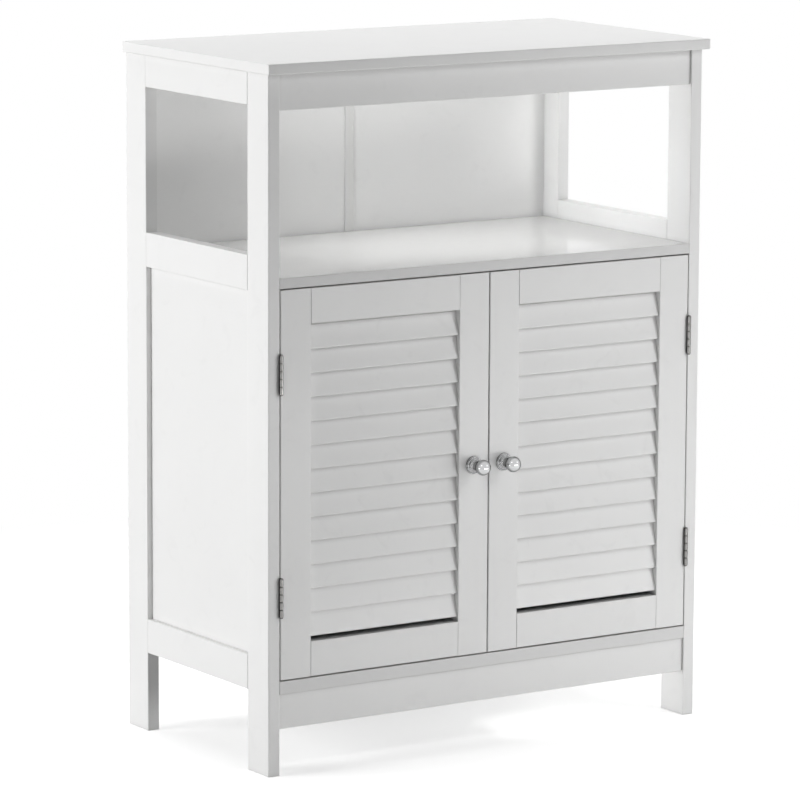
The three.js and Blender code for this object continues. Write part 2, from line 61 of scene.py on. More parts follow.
def makeCamera(values):
    data = bpy.data.cameras.new("photoCamera")
    data.sensor_width = values["sensor"]
    data.lens = values["lens"]
    data.clip_start = values["near"]
    data.clip_end = values["far"]
    camera = bpy.data.objects.new("photoCamera", data)
    scene.collection.objects.link(camera)
    camera.location = values["place"]
    camera.rotation_mode = "QUATERNION"
    turn = Quaternion((0, 0, 1), -radians(values["azimuth"]))
    tilt = Quaternion((1, 0, 0), radians(90 - values["pitch"]))
    camera.rotation_quaternion = turn @ tilt @ Quaternion((0, 0, 1), radians(values["roll"]))
    scene.camera = camera


makeCamera(cameraValues)


# helpers for node trees: each but the first two gives the output that the next node takes
def newMaterial(name):
    material = bpy.data.materials.new(name)
    material.use_nodes = True
    material.node_tree.nodes.clear()
    return material


def addNode(tree, kind, values=(), **settings):
    node = tree.nodes.new(kind)
    for setting, value in settings.items():
        setattr(node, setting, value)
    for socket, value in dict(values).items():
        node.inputs[socket].default_value = value
    return node


# an operand is a number or another node's output
def addMath(tree, operation, *operands, **settings):
    node = addNode(tree, "ShaderNodeMath", operation=operation, **settings)
    for socket, operand in zip(node.inputs, operands):
        if isinstance(operand, (int, float)):
            socket.default_value = operand
        else:
            tree.links.new(operand, socket)
    return node.outputs[0]


def addRange(tree, source, values, **settings):
    node = addNode(tree, "ShaderNodeMapRange", values, **settings)
    tree.links.new(source, node.inputs["Value"])
    return node.outputs[0]


def addNoise(tree, vector, values, scale=None):
    node = addNode(tree, "ShaderNodeTexNoise", values)
    tree.links.new(vector, node.inputs["Vector"])
    if scale:
        tree.links.new(scale, node.inputs["Scale"])
    return node.outputs["Fac"]


def scaleColour(tree, colour, share):
    node = addNode(tree, "ShaderNodeVectorMath", operation="SCALE")
    tree.links.new(colour, node.inputs[0])
    tree.links.new(share, node.inputs["Scale"])
    return node.outputs[0]


# the second colour lies over the first where the mask is 1
def layColour(tree, mask, under, over):
    node = addNode(tree, "ShaderNodeMix", {"B": over}, data_type="RGBA")
    tree.links.new(mask, node.inputs["Factor"])
    tree.links.new(under, node.inputs["A"])
    return node.outputs["Result"]


def mixShaders(tree, share, first, second):
    node = addNode(tree, "ShaderNodeMixShader")
    tree.links.new(share, node.inputs["Fac"])
    tree.links.new(first, node.inputs[1])
    tree.links.new(second, node.inputs[2])
    return node.outputs[0]


# 1 where the camera, a reflection or a clear material looks, 0 for light that falls on the object
def seenShare(tree):
    path = addNode(tree, "ShaderNodeLightPath").outputs
    either = addMath(tree, "MAXIMUM", path["Is Camera Ray"], path["Is Glossy Ray"])
    return addMath(tree, "MAXIMUM", either, path["Is Transmission Ray"])


# light: large soft boxes at the sides and above, and small ones at the front, in the open bay and
# near the feet; a box that is not mirrored stays out of reflections, and spread is in degrees
lightValues = {
    "leftBox": {
        "place": (-2.6, 0.6, 0.8), "aim": (-0.3, 0, 0.5), "size": (1.4, 2.0), "watts": 53,
        "mirrored": False,
    },
    "rightBox": {
        "place": (2.6, 0.1, 0.9), "aim": (0.3, 0, 0.45), "size": (2.2, 2.0), "watts": 25,
        "mirrored": False,
    },
    "rearRightBox": {
        "place": (2.4, 1.0, 0.9), "aim": (0.3, 0, 0.5), "size": (1.8, 2.0), "watts": 10,
        "mirrored": False,
    },
    "topBox": {
        "place": (0, 1.2, 2.5), "aim": (0, 0, 0.5), "size": (2.4, 1.6), "watts": 33,
    },
    "highBox": {
        "place": (0.9, -1.2, 1.35), "aim": (0.2, -0.15, 0.4), "size": (0.6, 0.4), "watts": 5.8,
        "mirrored": False,
    },
    "frontBox": {
        "place": (2.0, -2.6, 1.7), "aim": (0.1, -0.15, 0.4), "size": (1.2, 1.0), "watts": 3,
    },
    "lowBox": {
        "place": (0.95, -1.05, 0.32), "aim": (0.25, -0.15, 0.35), "size": (0.6, 0.5),
        "watts": 2.4, "mirrored": False,
    },
    "stripBox": {
        "place": (0.35, -1.2, 0.14), "aim": (0.1, -0.14, 0.08), "size": (1.2, 0.2),
        "watts": 3.4,
    },
    "plinthBox": {
        "place": (0.2, -1.0, 0.1), "aim": (0.1, -0.15, 0.08), "size": (1.0, 0.1), "watts": 0.04,
        "spread": 25,
    },
    "windowBox": {
        "place": (1.5, 0, 1.25), "aim": (0.05, 0, 0.57), "size": (0.4, 0.4), "watts": 0.3,
        "spread": 40, "mirrored": False,
    },
    "leftFrontBox": {
        "place": (-1.3, -1.2, 1.5), "aim": (0.1, 0, 0.6), "size": (0.5, 0.5), "watts": 0.18,
        "spread": 60,
    },
    "bayLeftBox": {
        "place": (-0.279, 0, 0.668), "aim": (0.2, 0.015, 0.64), "size": (0.19, 0.11),
        "watts": 0.15, "spread": 57,
    },
    "bayTopBox": {
        "place": (-0.03, -0.06, 0.765), "aim": (-0.03, -0.05, 0.57), "size": (0.45, 0.12),
        "watts": 0.035, "spread": 100,
    },
    "footBox": {
        "place": (-1.6, -0.3, 0.1), "aim": (0.28, -0.13, 0.03), "size": (0.5, 0.15),
        "watts": 1.7,
    },
    "underBox": {
        "place": (0, -0.08, 0.045), "aim": (0.28, -0.12, 0.045), "size": (0.1, 0.05),
        "watts": 0.06, "spread": 70,
    },
}
surroundValues = {"fill": 0, "shown": 1}  # strengths: on the object, and as it is seen
white = (1, 1, 1, 1)


def addSoftBox(name, values):
    data = bpy.data.lights.new(name, "AREA")
    data.shape = "RECTANGLE"
    data.size, data.size_y = values["size"]
    data.energy = values["watts"]
    data.spread = radians(values.get("spread", 180))
    box = bpy.data.objects.new(name, data)
    scene.collection.objects.link(box)
    box.visible_camera = False
    box.visible_glossy = values.get("mirrored", True)
    box.location = values["place"]
    away = Vector(values["place"]) - Vector(values["aim"])
    box.rotation_euler = away.to_track_quat("Z", "Y").to_euler()


def makeSurround(values):
    world = bpy.data.worlds.new("surround")
    scene.world = world
    world.use_nodes = True
    tree = world.node_tree
    tree.nodes.clear()
    fill = addNode(tree, "ShaderNodeBackground", {"Color": white, "Strength": values["fill"]})
    shown = addNode(tree, "ShaderNodeBackground", {"Color": white, "Strength": values["shown"]})
    out = addNode(tree, "ShaderNodeOutputWorld")
    sky = mixShaders(tree, seenShare(tree), fill.outputs[0], shown.outputs[0])
    tree.links.new(sky, out.inputs["Surface"])


for lightName, oneLight in lightValues.items():
    addSoftBox(lightName, oneLight)
makeSurround(surroundValues)
print("camera and lights ready")


# floor: pale, fading to the white surround away from the cabinet, and clear from below
floorValues = {
    "half": 60,  # half its width
    "colour": (0.93, 0.93, 0.93, 1),
    "bounce": (0.5, 0.5, 0.5, 1),  # what it throws back on the cabinet
    "lift": 0.5,  # added for the camera and for reflections
    "shadowReach": 1.3,  # how far from the middle a shadow can be seen
    "drop": 0.0003,  # it lies this far under the feet
}


def makeFloor(values):
    bpy.ops.object.select_all(action="DESELECT")
    bpy.ops.mesh.primitive_plane_add(size=2 * values["half"], location=(0, 0, -values["drop"]))
    floor = bpy.context.active_object
    floor.name = "studioFloor"
    material = newMaterial("paleFloor")
    tree = material.node_tree
    coordinates = addNode(tree, "ShaderNodeTexCoord")
    length = addNode(tree, "ShaderNodeVectorMath", operation="LENGTH")
    tree.links.new(coordinates.outputs["Object"], length.inputs[0])
    fade = addRange(tree, length.outputs["Value"], {
        "From Min": values["shadowReach"] / 2,
        "From Max": values["shadowReach"],
    })
    matt = addNode(tree, "ShaderNodeBsdfDiffuse", {"Color": values["colour"]})
    bounce = addNode(tree, "ShaderNodeBsdfDiffuse", {"Color": values["bounce"]})
    lift = addNode(tree, "ShaderNodeEmission", {"Strength": values["lift"]})
    far = addNode(tree, "ShaderNodeEmission", {"Strength": 1})
    clear = addNode(tree, "ShaderNodeBsdfTransparent")
    near = addNode(tree, "ShaderNodeAddShader")
    tree.links.new(matt.outputs[0], near.inputs[0])
    tree.links.new(lift.outputs[0], near.inputs[1])
    shown = mixShaders(tree, fade, near.outputs[0], far.outputs[0])
    whole = mixShaders(tree, seenShare(tree), bounce.outputs[0], shown)
    fromBelow = addNode(tree, "ShaderNodeNewGeometry").outputs["Backfacing"]
    sided = mixShaders(tree, fromBelow, whole, clear.outputs[0])
    out = addNode(tree, "ShaderNodeOutputMaterial")
    tree.links.new(sided, out.inputs["Surface"])
    floor.data.materials.append(material)


makeFloor(floorValues)


# shader node groups: each is built once and placed in every material that needs it
def newGroup(name, inputs, outputs):
    tree = bpy.data.node_groups.new(name, "ShaderNodeTree")
    for socketName, kind, value in inputs:
        socket = tree.interface.new_socket(socketName, in_out="INPUT", socket_type=kind)
        if value is not None:
            socket.default_value = value
    for socketName, kind in outputs:
        tree.interface.new_socket(socketName, in_out="OUTPUT", socket_type=kind)
    given = addNode(tree, "NodeGroupInput").outputs
    made = addNode(tree, "NodeGroupOutput").inputs
    return tree, given, made


def placeGroup(tree, group, values=()):
    node = tree.nodes.new("ShaderNodeGroup")
    node.node_tree = group
    for socket, value in dict(values).items():
        node.inputs[socket].default_value = value
    return node


surfaceOutputs = [
    ("Colour", "NodeSocketColor"),
    ("Roughness", "NodeSocketFloat"),
    ("Height", "NodeSocketFloat"),
]


# sprayed paint: cloudy tone, a few hand smudges, a fine stipple over soft orange peel
sprayValues = {
    "cloud": {"Detail": 4, "Roughness": 0.55},
    "cloudTone": {"From Min": 0.3, "From Max": 0.7, "To Min": 1, "To Max": 0},
    "smudge": {"Detail": 3, "Roughness": 0.6, "Distortion": 0.8},
    "smudgeMask": {"From Min": 0.56, "From Max": 0.74},
    "gloss": {"Scale": 55, "Detail": 2},
    "middle": 0.5,  # of the gloss noise
    "peel": {"Scale": 420, "Detail": 1},
    "stipple": {"Scale": 1500, "Detail": 2},
}


def makePaintGroup(values):
    tree, given, made = newGroup(
        "sprayedPaint",
        [
            ("Vector", "NodeSocketVector", None),
            ("Colour", "NodeSocketColor", (0.9, 0.9, 0.9, 1)),
            ("Cloud", "NodeSocketFloat", 0.02),
            ("Cloud Scale", "NodeSocketFloat", 7.0),
            ("Smudge", "NodeSocketFloat", 0.03),
            ("Smudge Scale", "NodeSocketFloat", 38.0),
            ("Gloss", "NodeSocketFloat", 0.35),
            ("Gloss Spread", "NodeSocketFloat", 0.08),
            ("Peel", "NodeSocketFloat", 0.6),
            ("Stipple", "NodeSocketFloat", 0.4),
        ],
        surfaceOutputs,
    )
    link = tree.links.new
    vector = given["Vector"]
    cloud = addNoise(tree, vector, values["cloud"], given["Cloud Scale"])
    cloudShare = addMath(
        tree, "MULTIPLY", addRange(tree, cloud, values["cloudTone"]), given["Cloud"]
    )
    smudge = addNoise(tree, vector, values["smudge"], given["Smudge Scale"])
    smudgeMask = addRange(
        tree, smudge, values["smudgeMask"], interpolation_type="SMOOTHSTEP"
    )
    smudgeShare = addMath(tree, "MULTIPLY", smudgeMask, given["Smudge"])
    darker = addMath(tree, "ADD", cloudShare, smudgeShare)
    tone = addMath(tree, "SUBTRACT", 1, darker)
    link(scaleColour(tree, given["Colour"], tone), made["Colour"])
    glossNoise = addNoise(tree, vector, values["gloss"])
    glossOffset = addMath(tree, "SUBTRACT", glossNoise, values["middle"])
    gloss = addMath(tree, "MULTIPLY_ADD", glossOffset, given["Gloss Spread"], given["Gloss"])
    link(addMath(tree, "ADD", gloss, smudgeShare), made["Roughness"])
    peel = addMath(tree, "MULTIPLY", addNoise(tree, vector, values["peel"]), given["Peel"])
    stipple = addNoise(tree, vector, values["stipple"])
    link(addMath(tree, "MULTIPLY_ADD", stipple, given["Stipple"], peel), made["Height"])
    return tree


# worn outside edges, broken up by noise; the rounded normal softens the edge itself
wearValues = {
    "radius": 0.0009,  # metres from an edge that the wear reaches
    "samples": 4,
    "bend": {"From Min": 0.985, "From Max": 0.82},  # cosine between the flat and rounded normals
    "patch": {"Detail": 5, "Roughness": 0.65},
    "patchMask": {"From Min": 0.42, "From Max": 0.66},
}


def makeEdgeGroup(values):
    tree, given, made = newGroup(
        "wornEdge",
        [
            ("Vector", "NodeSocketVector", None),
            ("Amount", "NodeSocketFloat", 0.5),
            ("Patch Scale", "NodeSocketFloat", 30.0),
        ],
        [("Mask", "NodeSocketFloat"), ("Normal", "NodeSocketVector")],
    )
    link = tree.links.new
    bevel = addNode(
        tree, "ShaderNodeBevel", {"Radius": values["radius"]}, samples=values["samples"]
    )
    rounded = bevel.outputs["Normal"]
    flat = addNode(tree, "ShaderNodeNewGeometry").outputs["Normal"]
    match = addNode(tree, "ShaderNodeVectorMath", operation="DOT_PRODUCT")
    link(rounded, match.inputs[0])
    link(flat, match.inputs[1])
    edge = addRange(tree, match.outputs["Value"], values["bend"])
    patch = addNoise(tree, given["Vector"], values["patch"], given["Patch Scale"])
    broken = addMath(tree, "MULTIPLY", edge, addRange(tree, patch, values["patchMask"]))
    link(addMath(tree, "MULTIPLY", broken, given["Amount"], use_clamp=True), made["Mask"])
    link(rounded, made["Normal"])
    return tree


# painted shade: ambient occlusion darkens the colour in narrow gaps, inside corners and between
# parts, where less light falls
paintedShadeValues = {"samples": 4, "open": 0.93}  # how open a place is at which the mask begins


def makePaintedShadeGroup(values):
    tree, given, made = newGroup(
        "paintedShade",
        [
            ("Reach", "NodeSocketFloat", 0.006),
            ("Amount", "NodeSocketFloat", 0.5),
            ("Shut", "NodeSocketFloat", 0.45),
        ],
        [("Mask", "NodeSocketFloat")],
    )
    link = tree.links.new
    exposed = addNode(tree, "ShaderNodeAmbientOcclusion", samples=values["samples"])
    link(given["Reach"], exposed.inputs["Distance"])
    closed = addNode(tree, "ShaderNodeMapRange", {"From Min": values["open"]})
    link(given["Shut"], closed.inputs["From Max"])
    link(exposed.outputs["AO"], closed.inputs["Value"])
    share = addMath(tree, "MULTIPLY", closed.outputs[0], given["Amount"], use_clamp=True)
    link(share, made["Mask"])
    return tree


# metal: fine lines along one direction and a faint cloud of handling marks
rubValues = {
    "lines": {"Detail": 3, "Roughness": 0.6},
    "marks": {"Scale": 260, "Detail": 5, "Roughness": 0.7},
    "markMask": {"From Min": 0.45, "From Max": 0.75},
}


def makeRubGroup(values):
    tree, given, made = newGroup(
        "metalRub",
        [
            ("Vector", "NodeSocketVector", None),
            ("Colour", "NodeSocketColor", (0.6, 0.6, 0.6, 1)),
            ("Stretch", "NodeSocketVector", (1.0, 1.0, 0.05)),
            ("Line Scale", "NodeSocketFloat", 4000.0),
            ("Lines", "NodeSocketFloat", 0.1),
            ("Gloss", "NodeSocketFloat", 0.25),
            ("Marks", "NodeSocketFloat", 0.1),
        ],
        surfaceOutputs,
    )
    link = tree.links.new
    stretched = addNode(tree, "ShaderNodeVectorMath", operation="MULTIPLY")
    link(given["Vector"], stretched.inputs[0])
    link(given["Stretch"], stretched.inputs[1])
    lines = addNoise(tree, stretched.outputs[0], values["lines"], given["Line Scale"])
    marks = addNoise(tree, given["Vector"], values["marks"])
    markMask = addRange(tree, marks, values["markMask"])
    markShare = addMath(tree, "MULTIPLY", markMask, given["Marks"])
    lineShare = addMath(tree, "MULTIPLY", lines, given["Lines"])
    rough = addMath(tree, "ADD", markShare, lineShare)
    link(addMath(tree, "ADD", rough, given["Gloss"]), made["Roughness"])
    duller = addMath(tree, "SUBTRACT", 1, rough)
    link(scaleColour(tree, given["Colour"], duller), made["Colour"])
    link(lineShare, made["Height"])
    return tree


paintGroup = makePaintGroup(sprayValues)
edgeGroup = makeEdgeGroup(wearValues)
paintedShadeGroup = makePaintedShadeGroup(paintedShadeValues)
rubGroup = makeRubGroup(rubValues)
print("node groups ready")


# paint: satin white over fibreboard, glossier on the open shelf; edge is how far the worn colour
# comes through, the shade amount how far the painted shade in gaps and corners comes through, and
# front is the painted shade on forward faces
paintValues = {
    "whitePaint": {
        "colour": (0.88, 0.88, 0.875, 1), "gloss": 0.34, "bump": 0.2, "smudge": 0.02,
        "edge": 0.35, "paintedShade": 0.22,
    },
    "boardPaint": {
        "colour": (0.88, 0.88, 0.875, 1), "gloss": 0.36, "bump": 0.2, "smudge": 0.02,
        "edge": 0.35, "paintedShade": 0.35, "front": 0.86,
    },
    # painted light: the same white paint drawn lighter on the louvre blades
    "louvrePaint": {
        "colour": (0.92, 0.92, 0.915, 1), "gloss": 0.36, "bump": 0.22, "smudge": 0.03,
        "edge": 0.4, "paintedShade": 0.2,
    },
    "deckPaint": {
        "colour": (0.94, 0.94, 0.935, 1), "gloss": 0.07, "bump": 0.04, "smudge": 0.015,
        "edge": 0.3, "paintedShade": 0.2, "front": 0.84,
    },
    "panelPaint": {
        "colour": (0.87, 0.87, 0.865, 1), "gloss": 0.38, "bump": 0.25, "smudge": 0.02,
        "edge": 0.2, "paintedShade": 0.12,
    },
    # painted light: the same white paint drawn lighter on the back panels
    "lightenedBackPaint": {
        "colour": (0.94, 0.94, 0.935, 1), "gloss": 0.36, "bump": 0.25, "smudge": 0.02,
        "edge": 0.2, "paintedShade": 0.05,
    },
    "whitePlastic": {
        "colour": (0.84, 0.84, 0.83, 1), "gloss": 0.32, "bump": 0.25, "smudge": 0.01, "edge": 0,
        "paintedShade": 0.05,
    },
}
coatValues = {
    "worn": (0.62, 0.6, 0.57, 1),
    # painted shade: the dark colour laid into gaps and corners
    "shadeColour": (0.3, 0.295, 0.285, 1),
    "bumpDepth": 0.0004,
    "sawnFrom": -0.55,  # y of the normal where the painted shade on forward faces begins, and where it is full
    "sawnTo": -0.9,
}


# a paint's or metal's own shader takes the colour, roughness and normal that were made for it
def finishMaterial(tree, colour, roughness, normal=None, values=()):
    shader = addNode(tree, "ShaderNodeBsdfPrincipled", values)
    out = addNode(tree, "ShaderNodeOutputMaterial")
    tree.links.new(colour, shader.inputs["Base Color"])
    tree.links.new(roughness, shader.inputs["Roughness"])
    if normal:
        tree.links.new(normal, shader.inputs["Normal"])
    tree.links.new(shader.outputs[0], out.inputs["Surface"])


def makePaint(name, values):
    material = newMaterial(name)
    tree = material.node_tree
    link = tree.links.new
    coordinates = addNode(tree, "ShaderNodeTexCoord").outputs["Object"]
    skin = placeGroup(tree, paintGroup, {
        "Colour": values["colour"],
        "Gloss": values["gloss"],
        "Smudge": values["smudge"],
    })
    edge = placeGroup(tree, edgeGroup, {"Amount": values["edge"]})
    paintedShade = placeGroup(tree, paintedShadeGroup, {"Amount": values["paintedShade"]})
    link(coordinates, skin.inputs["Vector"])
    link(coordinates, edge.inputs["Vector"])
    colour = layColour(tree, edge.outputs["Mask"], skin.outputs["Colour"], coatValues["worn"])
    if "front" in values:
        # painted shade: faces that look forward are drawn darker, as if the board's front edge fell
        # in shade
        surface = addNode(tree, "ShaderNodeNewGeometry")
        parts = addNode(tree, "ShaderNodeSeparateXYZ")
        link(surface.outputs["Normal"], parts.inputs[0])
        tone = addRange(tree, parts.outputs["Y"], {
            "From Min": coatValues["sawnFrom"],
            "From Max": coatValues["sawnTo"],
            "To Min": 1,
            "To Max": values["front"],
        })
        colour = scaleColour(tree, colour, tone)
    # painted shade: the dark colour is laid where the occlusion mask finds gaps and corners
    colour = layColour(tree, paintedShade.outputs["Mask"], colour, coatValues["shadeColour"])
    bump = addNode(tree, "ShaderNodeBump", {
        "Strength": values["bump"],
        "Distance": coatValues["bumpDepth"],
    })
    link(skin.outputs["Height"], bump.inputs["Height"])
    link(edge.outputs["Normal"], bump.inputs["Normal"])
    finishMaterial(tree, colour, skin.outputs["Roughness"], bump.outputs["Normal"])
    return material


# metals: plated hinges, polished knobs, zinc fittings, steel plates and the dark magnet; rim is how
# bright a surface seen edge-on is, from 0 for dark to 1 for bare metal, and the shade amount is
# painted shade in hollows and beside other parts
metalValues = {
    "nickel": {
        "colour": (0.27, 0.266, 0.26, 1), "rim": 0.2, "gloss": 0.1, "lines": 0.1, "marks": 0.08,
        "stretch": (1, 1, 0.04), "metalShade": 0.9, "reach": 0.008,
    },
    "chrome": {
        "colour": (0.58, 0.585, 0.59, 1), "rim": 0, "gloss": 0.015, "lines": 0.02,
        "marks": 0.02, "stretch": (1, 0.1, 1), "metalShade": 0.95, "reach": 0.014,
    },
    "zinc": {
        "colour": (0.42, 0.425, 0.43, 1), "rim": 0.6, "gloss": 0.34, "lines": 0.15,
        "marks": 0.2, "stretch": (1, 1, 1), "metalShade": 0.6, "reach": 0.006,
    },
    "steel": {
        "colour": (0.38, 0.38, 0.38, 1), "rim": 0.5, "gloss": 0.28, "lines": 0.2, "marks": 0.12,
        "stretch": (0.05, 1, 1), "metalShade": 0.6, "reach": 0.006,
    },
}
platingValues = {
    # painted shade: the near-black colour laid into hollows and beside other parts
    "metalShade": (0.03, 0.029, 0.027, 1),
    "shut": 0.7,  # how open a place still is where the painted shade is full
    "bump": 0.05,
    "bumpDepth": 0.0001,
}
magnetValues = {
    "colour": (0.035, 0.035, 0.037, 1), "gloss": 0.6, "cloud": 0.3, "cloudScale": 300,
}


def makeMetal(name, values):
    material = newMaterial(name)
    tree = material.node_tree
    link = tree.links.new
    coordinates = addNode(tree, "ShaderNodeTexCoord").outputs["Object"]
    rub = placeGroup(tree, rubGroup, {
        "Colour": values["colour"],
        "Stretch": values["stretch"],
        "Lines": values["lines"],
        "Gloss": values["gloss"],
        "Marks": values["marks"],
    })
    paintedShade = placeGroup(tree, paintedShadeGroup, {
        "Reach": values["reach"],
        "Amount": values["metalShade"],
        "Shut": platingValues["shut"],
    })
    link(coordinates, rub.inputs["Vector"])
    bump = addNode(tree, "ShaderNodeBump", {
        "Strength": platingValues["bump"],
        "Distance": platingValues["bumpDepth"],
    })
    link(rub.outputs["Height"], bump.inputs["Height"])
    # painted shade: the metal is drawn near black in hollows and beside other parts
    colour = layColour(
        tree, paintedShade.outputs["Mask"], rub.outputs["Colour"], platingValues["metalShade"]
    )
    rim = values["rim"]
    finishMaterial(tree, colour, rub.outputs["Roughness"], bump.outputs["Normal"], {
        "Metallic": 1,
        "Specular Tint": (rim, rim, rim, 1),
    })
    return material


def makeMagnetMaterial(values):
    material = newMaterial("ferrite")
    tree = material.node_tree
    coordinates = addNode(tree, "ShaderNodeTexCoord")
    skin = placeGroup(tree, paintGroup, {
        "Colour": values["colour"],
        "Gloss": values["gloss"],
        "Cloud": values["cloud"],
        "Cloud Scale": values["cloudScale"],
    })
    tree.links.new(coordinates.outputs["Object"], skin.inputs["Vector"])
    finishMaterial(tree, skin.outputs["Colour"], skin.outputs["Roughness"])
    return material


materials = {name: makePaint(name, values) for name, values in paintValues.items()}
materials.update({name: makeMetal(name, values) for name, values in metalValues.items()})
materials["ferrite"] = makeMagnetMaterial(magnetValues)


def paintNodes():
    for name, node in nodes.items():
        key = "whitePaint"
        if "hinge" in name:
            key = "nickel"
        elif "knob" in name:
            key = "chrome"
        elif "louvre" in name:
            key = "louvrePaint"
        elif name == "open_shelf":
            key = "deckPaint"
        elif name in ("bottom_board", "inner_shelf"):
            key = "boardPaint"
        elif name in ("magnetic_catch", "back_panel_joiner"):
            key = "whitePlastic"
        elif "back_panel" in name:
            key = "lightenedBackPaint"
        elif "side_panel" in name:
            key = "panelPaint"
        node.data.materials.clear()
        node.data.materials.append(materials[key])


paintNodes()
print("materials ready")


# modelling helpers: each starts with nothing selected, and leaves its piece selected and active
facing = 0.5  # a face looks one way when its normal reaches further that way than this
hair = 0.0001  # closer than this counts as on the axis


def takePiece(piece):
    bpy.ops.object.select_all(action="DESELECT")
    piece.select_set(True)
    bpy.context.view_layer.objects.active = piece


# a round piece made ring by ring from a filled circle, as (radius, height) steps up the z axis
def turnPiece(name, steps, sides):
    bpy.ops.object.select_all(action="DESELECT")
    radius, height = steps[0]
    bpy.ops.mesh.primitive_circle_add(
        vertices=sides, radius=radius, fill_type="NGON", location=(0, 0, height)
    )
    piece = bpy.context.active_object
    piece.name = name
    bpy.ops.object.transform_apply(location=True, rotation=True, scale=True)
    bpy.ops.object.mode_set(mode="EDIT")
    bpy.ops.mesh.select_all(action="SELECT")
    for nextRadius, nextHeight in steps[1:]:
        bpy.ops.mesh.extrude_region_move(
            TRANSFORM_OT_translate={"value": (0, 0, nextHeight - height)}
        )
        size = nextRadius / radius
        bpy.ops.transform.resize(value=(size, size, 1), center_override=(0, 0, nextHeight))
        radius, height = nextRadius, nextHeight
    bpy.ops.mesh.select_all(action="SELECT")
    bpy.ops.mesh.normals_make_consistent(inside=False)
    bpy.ops.object.mode_set(mode="OBJECT")
    return piece


# a block between two corners
def blockPiece(name, low, high):
    bpy.ops.object.select_all(action="DESELECT")
    middle = [(a + b) / 2 for a, b in zip(low, high)]
    size = [b - a for a, b in zip(low, high)]
    bpy.ops.mesh.primitive_cube_add(size=1, location=middle, scale=size)
    piece = bpy.context.active_object
    piece.name = name
    bpy.ops.object.transform_apply(location=True, rotation=True, scale=True)
    return piece


def selectFaces(piece, wanted):
    mesh = bmesh.from_edit_mesh(piece.data)
    for face in mesh.faces:
        face.select_set(wanted(face.calc_center_median(), face.normal))
    bmesh.update_edit_mesh(piece.data)


def joinPieces(first, others):
    takePiece(first)
    for other in others:
        other.select_set(True)
    bpy.ops.object.join()
    return first


def cutWith(piece, cutter):
    takePiece(piece)
    bpy.ops.object.modifier_add(type="BOOLEAN")
    cut = piece.modifiers[-1]
    cut.operation = "DIFFERENCE"
    cut.solver = "EXACT"
    cut.object = cutter
    bpy.ops.object.modifier_apply(modifier=cut.name)
    bpy.data.objects.remove(cutter)


def easeEdges(piece, width, sharpest=35, segments=2):
    takePiece(piece)
    bpy.ops.object.modifier_add(type="BEVEL")
    bevel = piece.modifiers[-1]
    bevel.width = width
    bevel.segments = segments
    bevel.limit_method = "ANGLE"
    bevel.angle_limit = radians(sharpest)
    bpy.ops.object.modifier_apply(modifier=bevel.name)


def smoothPiece(piece, sharpest=40):
    takePiece(piece)
    bpy.ops.object.shade_smooth_by_angle(angle=radians(sharpest))


# a copy with its own mesh, turned about the origin and moved to its place
def placeCopy(model, name, turn, place):
    copy = model.copy()
    copy.data = model.data.copy()
    copy.name = name
    scene.collection.objects.link(copy)
    copy.data.transform(Matrix.Translation(Vector(place)) @ turn)
    return copy


def finishPiece(piece, body, material):
    piece.data.materials.clear()
    piece.data.materials.append(materials[material])
    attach(piece, body)


noTurn = Matrix.Identity(4)
faceFront = Matrix.Rotation(radians(90), 4, "X")  # z becomes -y
faceBack = Matrix.Rotation(radians(-90), 4, "X")  # z becomes +y
faceDown = Matrix.Rotation(radians(180), 4, "X")
sides = {"left": -1, "right": 1}


# knobs: a rose with a stepped rim, a waisted neck and a slightly flattened ball
knobValues = {
    "sides": 64,
    "rose": [  # as (radius, height) steps from the door outwards
        (0.0103, 0), (0.0103, 0.0009), (0.01018, 0.00118), (0.0099, 0.0013), (0.009, 0.00133),
        (0.00888, 0.00142), (0.00872, 0.00185), (0.0084, 0.0021), (0.0078, 0.00225),
        (0.0068, 0.00245), (0.006, 0.00285), (0.0053, 0.0034), (0.0047, 0.0042),
    ],
    "neck": [(0.0041, 0.0055), (0.0037, 0.0069), (0.0034, 0.0084), (0.0034, 0.0104)],
    "headRadius": 0.009,
    "headHalfDepth": 0.0082,
    "headCentre": 0.0194,
    "headSteps": 22,
    "headStart": 24,  # degrees from the ball's rear pole
    "headEnd": 179,
    "smooth": 32,  # degrees up to which an edge is shaded smooth
}


def makeKnob(values):
    head = []
    start, steps = values["headStart"], values["headSteps"]
    for step in range(steps + 1):
        angle = radians(start + (values["headEnd"] - start) * step / steps)
        height = values["headCentre"] - values["headHalfDepth"] * cos(angle)
        head.append((values["headRadius"] * sin(angle), height))
    knob = turnPiece("knobModel", values["rose"] + values["neck"] + head, values["sides"])
    smoothPiece(knob, values["smooth"])
    return knob


knobModel = makeKnob(knobValues)
for side in sides:
    low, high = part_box(side + "_knob")
    place = ((low.x + high.x) / 2, high.y, (low.z + high.z) / 2)
    knob = placeCopy(knobModel, side + "_knob_turned", faceFront, place)
    finishPiece(knob, side + "_door", "chrome")
    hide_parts(side + "_knob")
bpy.data.objects.remove(knobModel)
print("knobs ready")


# cross recess, used in every screw and cam: two bars that narrow towards the bottom of the recess
crossValues = {"bottomReachShare": 0.55, "bottomWidthShare": 0.6}


def crossCutter(reach, width, depth):
    taper = (crossValues["bottomReachShare"], crossValues["bottomWidthShare"], 1)
    bars = []
    for turn in (0, 90):
        bar = blockPiece("bar", (-reach, -width / 2, -depth), (reach, width / 2, depth))
        bpy.ops.object.mode_set(mode="EDIT")
        bpy.ops.mesh.select_all(action="DESELECT")
        selectFaces(bar, lambda centre, normal: normal.z < -facing)
        bpy.ops.transform.resize(value=taper, center_override=(0, 0, -depth))
        bpy.ops.object.mode_set(mode="OBJECT")
        bar.data.transform(Matrix.Rotation(radians(turn), 4, "Z"))
        bars.append(bar)
    return bars


def cutCross(piece, cross, height):
    for bar in crossCutter(*cross):
        bar.data.transform(Matrix.Translation((0, 0, height)))
        cutWith(piece, bar)


